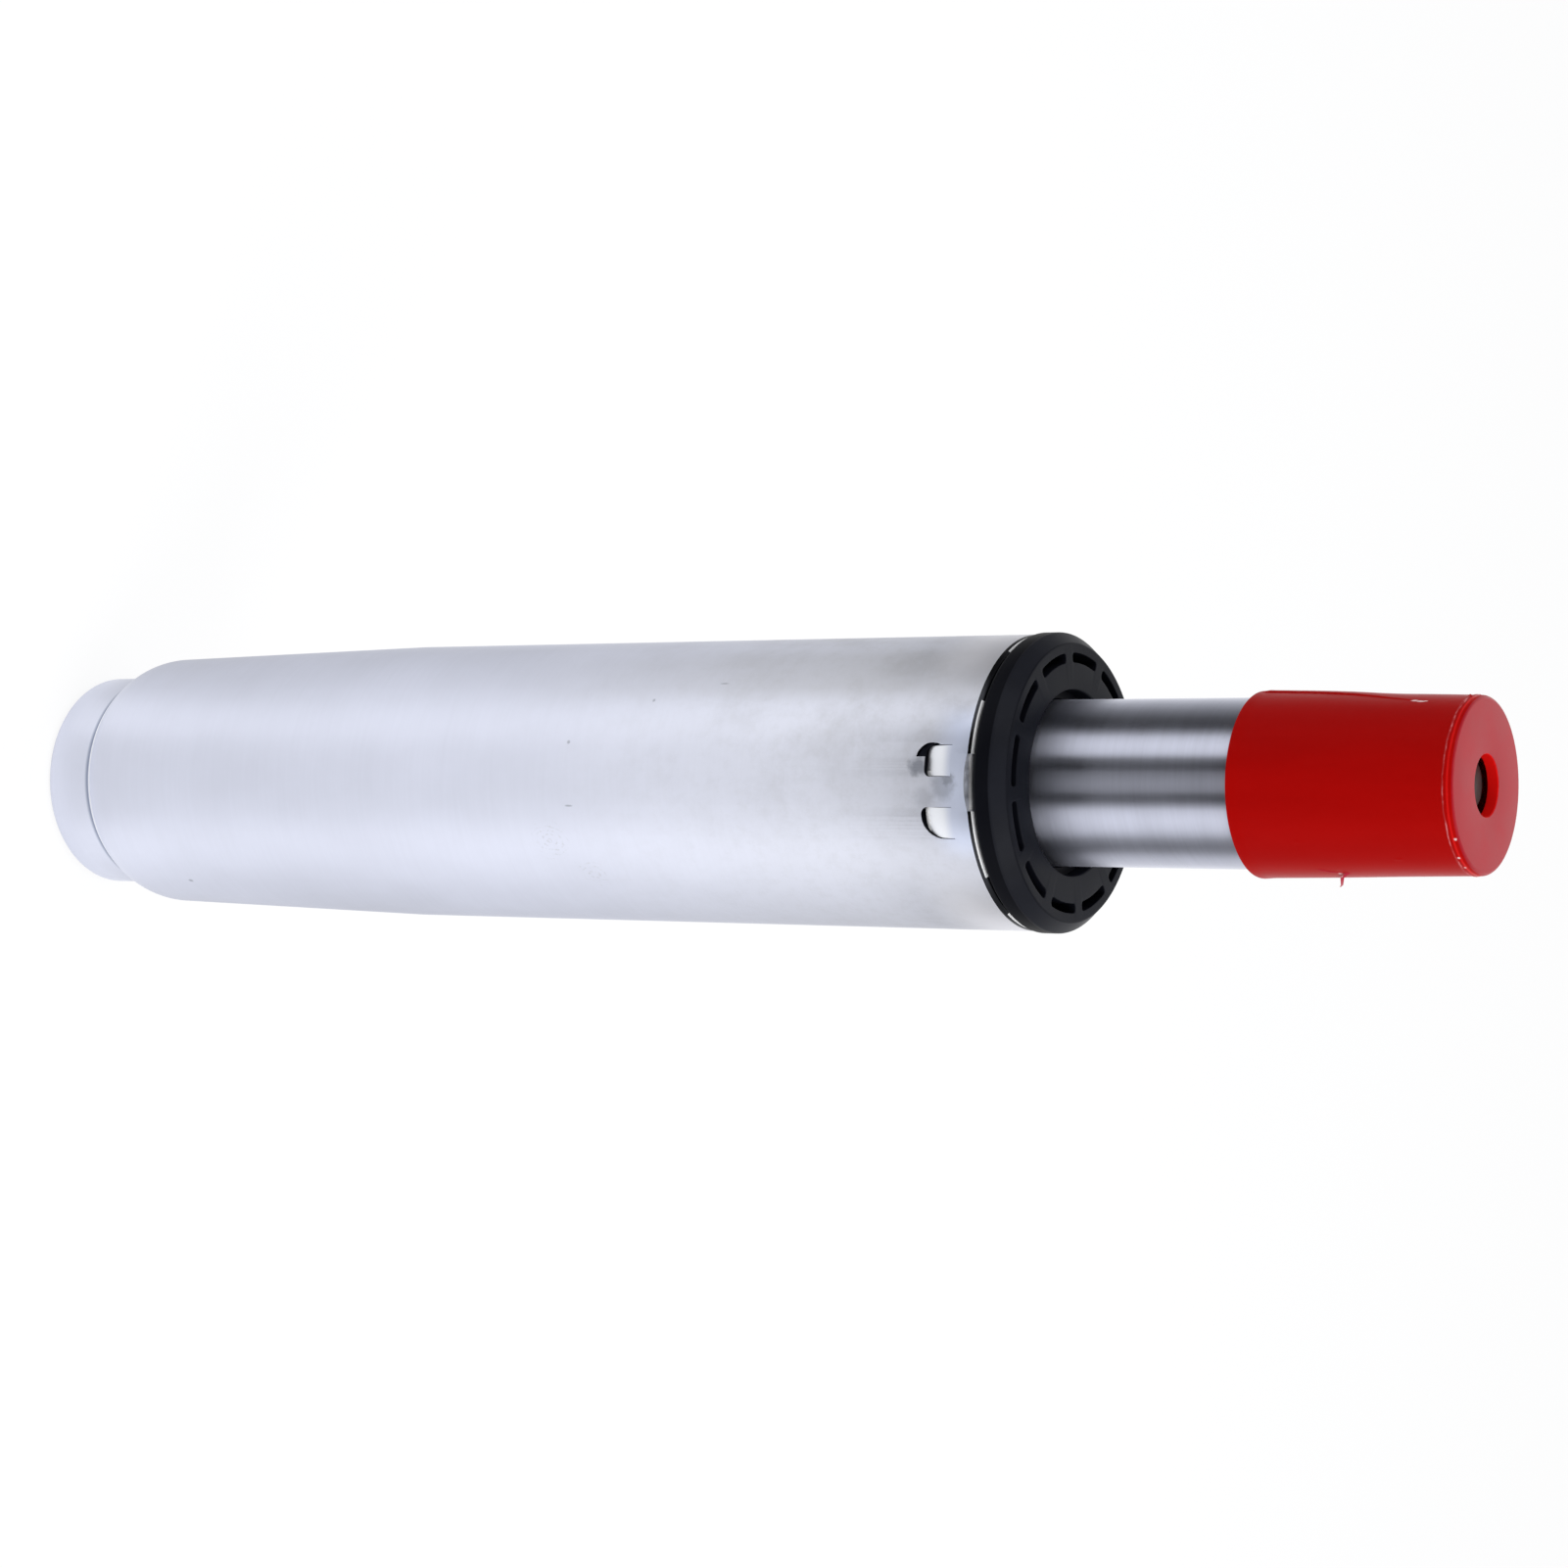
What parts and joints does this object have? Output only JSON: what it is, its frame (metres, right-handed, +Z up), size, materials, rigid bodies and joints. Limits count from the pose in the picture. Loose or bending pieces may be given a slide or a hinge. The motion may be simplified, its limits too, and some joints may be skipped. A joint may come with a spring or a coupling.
{
  "type": "chair gas lift cylinder",
  "caption": "Chair gas lift: coned steel stand tube, black guide bushing with arc slots, telescoping pressure tube with a seat cone, release pin and red transport cap.",
  "frame": {"origin": "on the axis in the plane of the neck's lower rim, which is the bottom of the part's box", "axes": "+Z up the axis towards the seat; -Y is the side with the two lanced tabs and the rim's flat; +X to the right of that side"},
  "size_m": [0.0506, 0.0506, 0.2873],
  "materials": {
    "satin_steel": "satin, finely brushed round the tube",
    "ground_steel": "ground bright",
    "hard_steel": "polished",
    "zinc_steel": "zinc plated",
    "spring_steel": "black oxide",
    "dark_steel": "dark oxide",
    "aluminium_alloy": "turned",
    "black_plastic": "moulded, fine grain",
    "white_plastic": "moulded, natural",
    "bumper_rubber": "moulded rubber",
    "seal_rubber": "oiled rubber",
    "red_plastic": "soft moulded plastic"
  },
  "bodies": {
    "stand": {"outer_tube": "satin_steel", "guide_bushing": "black_plastic", "base_disc": "zinc_steel", "lower_race": "hard_steel"},
    "cage": {"ball_cage": "white_plastic", "bearing_balls": "hard_steel"},
    "rod": {"piston_rod": "hard_steel", "upper_race": "hard_steel", "bumper_cup": "zinc_steel", "rubber_bumper": "bumper_rubber", "rod_washer": "zinc_steel", "retaining_clip": "spring_steel", "piston": "aluminium_alloy", "piston_seal": "seal_rubber", "piston_nut": "zinc_steel"},
    "spring_tube": {"pressure_tube": "ground_steel", "inner_cylinder": "zinc_steel", "rod_guide": "white_plastic", "rod_seal": "seal_rubber", "seal_washer": "zinc_steel", "cylinder_foot": "white_plastic", "valve_seat": "aluminium_alloy", "stem_seal": "seal_rubber", "valve_body": "aluminium_alloy", "valve_seal": "seal_rubber"},
    "release": {"release_pin": "dark_steel", "valve_stem": "dark_steel"},
    "cap": {"protective_cap": "red_plastic"}
  },
  "joints": [
    {"name": "swivel", "type": "hinge", "parent": "stand", "child": "rod", "pos_m": [0, 0, 0.01961], "axis": [0, 0, 1], "continuous": true},
    {"name": "cage_spin", "type": "hinge", "parent": "stand", "child": "cage", "pos_m": [0, 0, 0.01961], "axis": [0, 0, 1], "continuous": true},
    {"name": "height_stroke", "type": "slide", "parent": "rod", "child": "spring_tube", "axis": [0, 0, 1], "range_m": [0, 0.1]},
    {"name": "release_press", "type": "slide", "parent": "spring_tube", "child": "release", "axis": [0, 0, -1], "range_m": [0, 0.0025], "stiffness_N_per_m": 3000},
    {"name": "cap_pull", "type": "slide", "parent": "spring_tube", "child": "cap", "axis": [0, 0, 1], "range_m": [0, 0.045]}
  ],
  "couplings": [
    {"joint": "cage_spin", "follows": "swivel", "ratio": 0.5}
  ]
}
